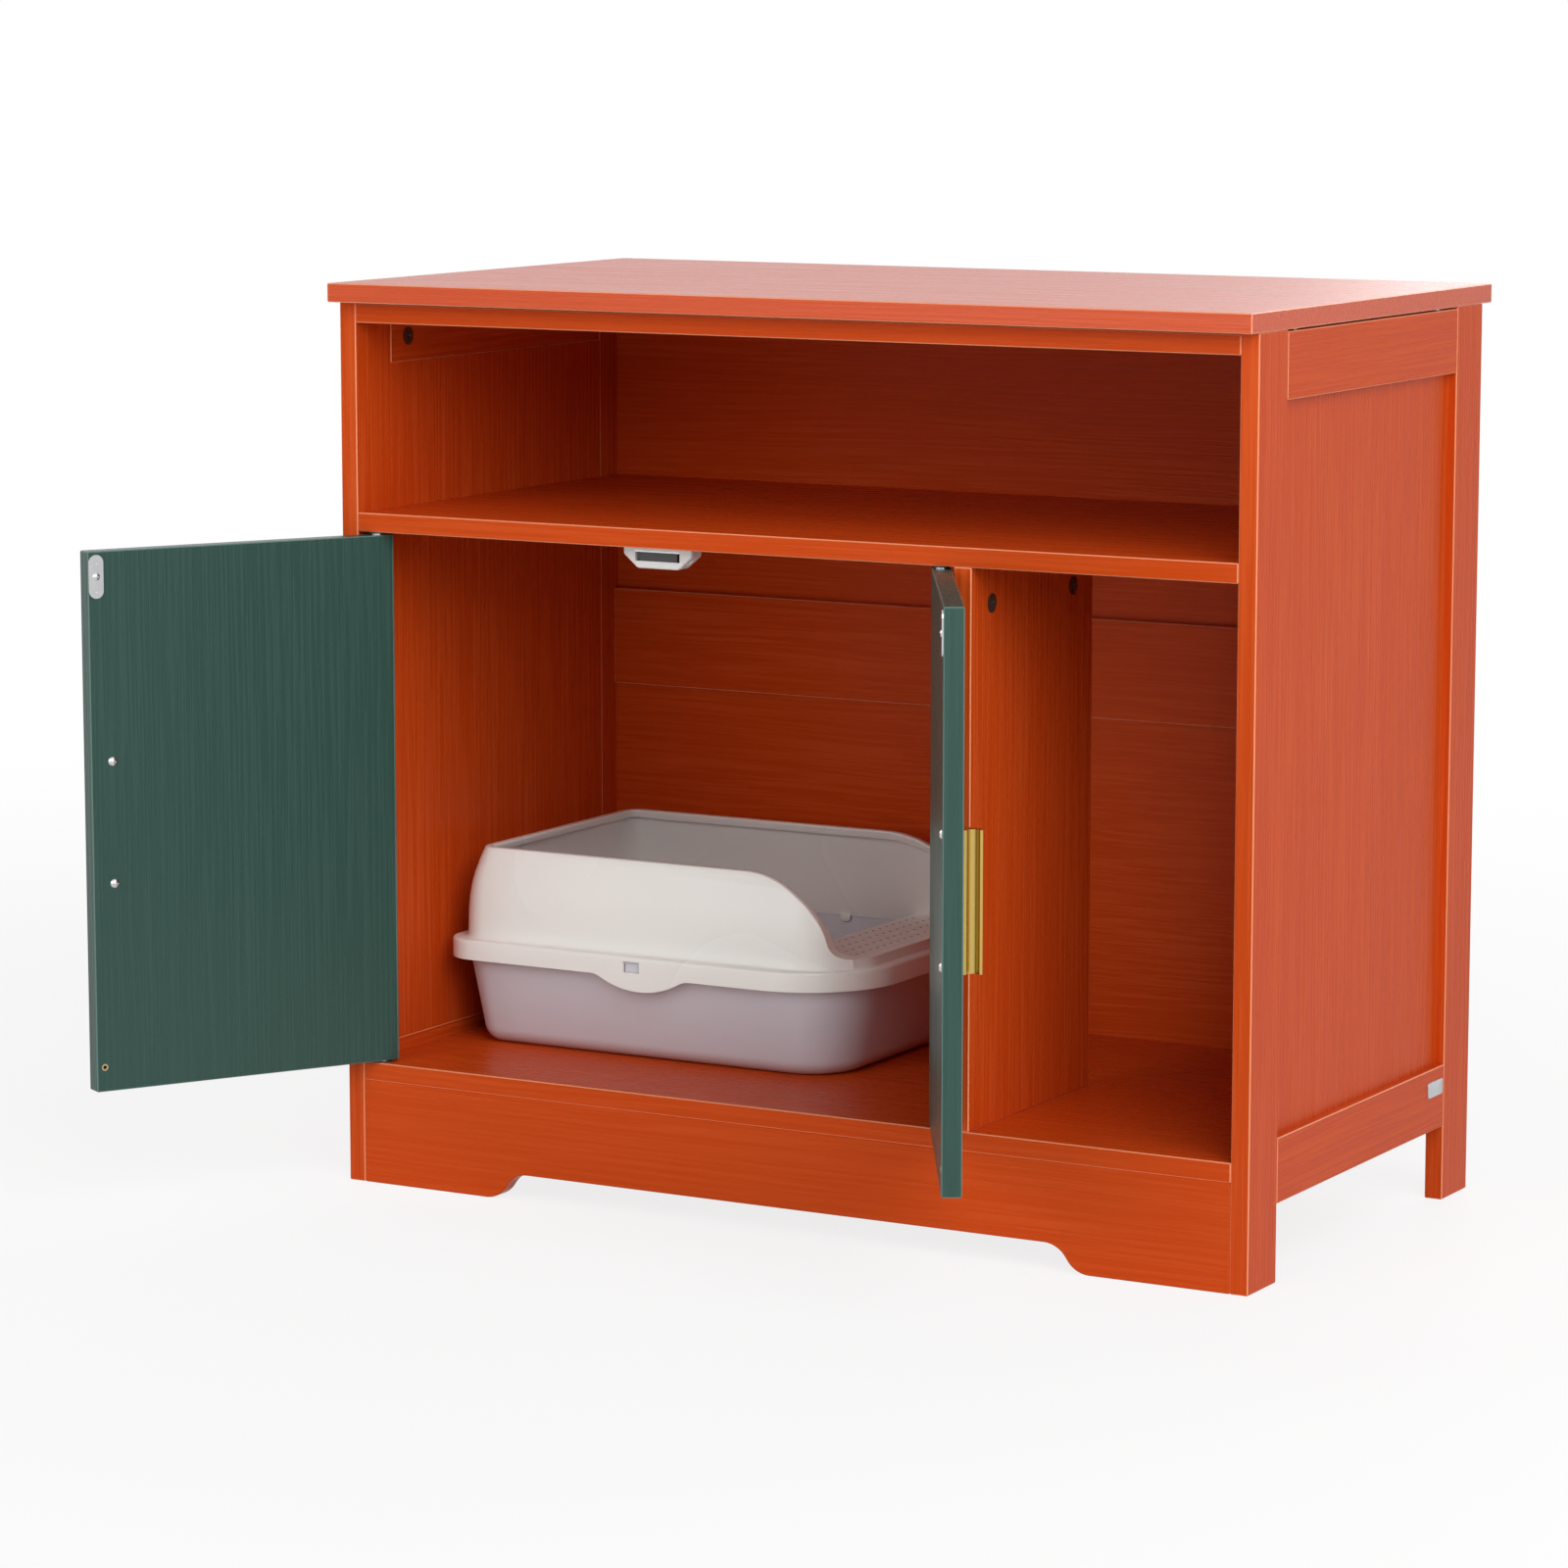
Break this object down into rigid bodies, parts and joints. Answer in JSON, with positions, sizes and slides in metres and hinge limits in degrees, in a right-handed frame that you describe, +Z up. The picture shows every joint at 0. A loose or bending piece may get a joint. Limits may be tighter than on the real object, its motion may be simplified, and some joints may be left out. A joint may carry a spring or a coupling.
{
  "type": "cat litter box cabinet",
  "caption": "Low wooden cabinet that hides a hooded litter tray: open shelf above, doors on pivot pins, a divider to walk round and an open side entry.",
  "frame": {"origin": "middle of the front left foot's underside, on the floor", "axes": "+X to the right along the front, +Y towards the back, +Z up"},
  "size_m": [0.9096, 0.6487, 0.725],
  "materials": {
    "painted_orange": "satin orange-red paint with a fine grain",
    "painted_green": "satin dark grey-green paint",
    "gold_metal": "satin gold",
    "bright_steel": "zinc plated",
    "black_nylon": "moulded nylon",
    "white_plastic": "moulded, slight sheen",
    "magnet_ferrite": "sintered ferrite",
    "hood_white": "moulded, soft gloss",
    "tub_grey": "moulded, satin",
    "bare_dowel": "raw beech"
  },
  "bodies": {
    "cabinet": {"top_panel": "painted_orange", "front_stretcher": "painted_orange", "rear_stretcher": "painted_orange", "middle_shelf": "painted_orange", "bottom_shelf": "painted_orange", "front_apron": "painted_orange", "divider": "painted_orange", "back_rail": "painted_orange", "upper_back_panel": "painted_orange", "lower_back_panel": "painted_orange", "left_front_post": "painted_orange", "left_rear_post": "painted_orange", "left_top_rail": "painted_orange", "left_bottom_rail": "painted_orange", "left_side_panel": "painted_orange", "left_frame_dowels": "bare_dowel", "left_rail_cam_nuts": "bright_steel", "left_rail_cam_bolts": "bright_steel", "left_door_bushings": "black_nylon", "right_front_post": "painted_orange", "right_rear_post": "painted_orange", "right_top_rail": "painted_orange", "right_bottom_rail": "painted_orange", "right_side_panel": "painted_orange", "right_frame_dowels": "bare_dowel", "right_rail_cam_nuts": "bright_steel", "right_rail_cam_bolts": "bright_steel", "right_door_bushings": "black_nylon", "board_dowels": "bare_dowel", "divider_cam_nuts": "bright_steel", "divider_cam_bolts": "bright_steel", "catch_pole_plates": "bright_steel", "catch_screws": "bright_steel", "catch_housing": "white_plastic", "catch_magnet": "magnet_ferrite"},
    "left_door": {"left_door": "painted_green", "left_door_pins": "bright_steel", "left_handle": "gold_metal", "left_handle_screws": "bright_steel", "left_strike_plate": "bright_steel", "left_strike_screw": "bright_steel"},
    "right_door": {"right_door": "painted_green", "right_door_pins": "bright_steel", "right_handle": "gold_metal", "right_handle_screws": "bright_steel", "right_strike_plate": "bright_steel", "right_strike_screw": "bright_steel"},
    "tray": {"tray_tub": "tub_grey"},
    "hood": {"tray_hood": "hood_white"}
  },
  "joints": [
    {"name": "left_door_swing", "type": "hinge", "parent": "cabinet", "child": "left_door", "pos_m": [0.0215, -0.0175, 0.31325], "axis": [0, 0, 1], "range_deg": [-3, 120]},
    {"name": "right_door_swing", "type": "hinge", "parent": "cabinet", "child": "right_door", "pos_m": [0.5285, -0.0175, 0.31325], "axis": [0, 0, 1], "range_deg": [-120, 3]},
    {"name": "tray_slide", "type": "slide", "parent": "cabinet", "child": "tray", "axis": [0, -1, 0], "range_m": [0, 0.07]},
    {"name": "hood_lift", "type": "slide", "parent": "tray", "child": "hood", "axis": [0, 0, 1], "range_m": [0, 0.06]}
  ]
}
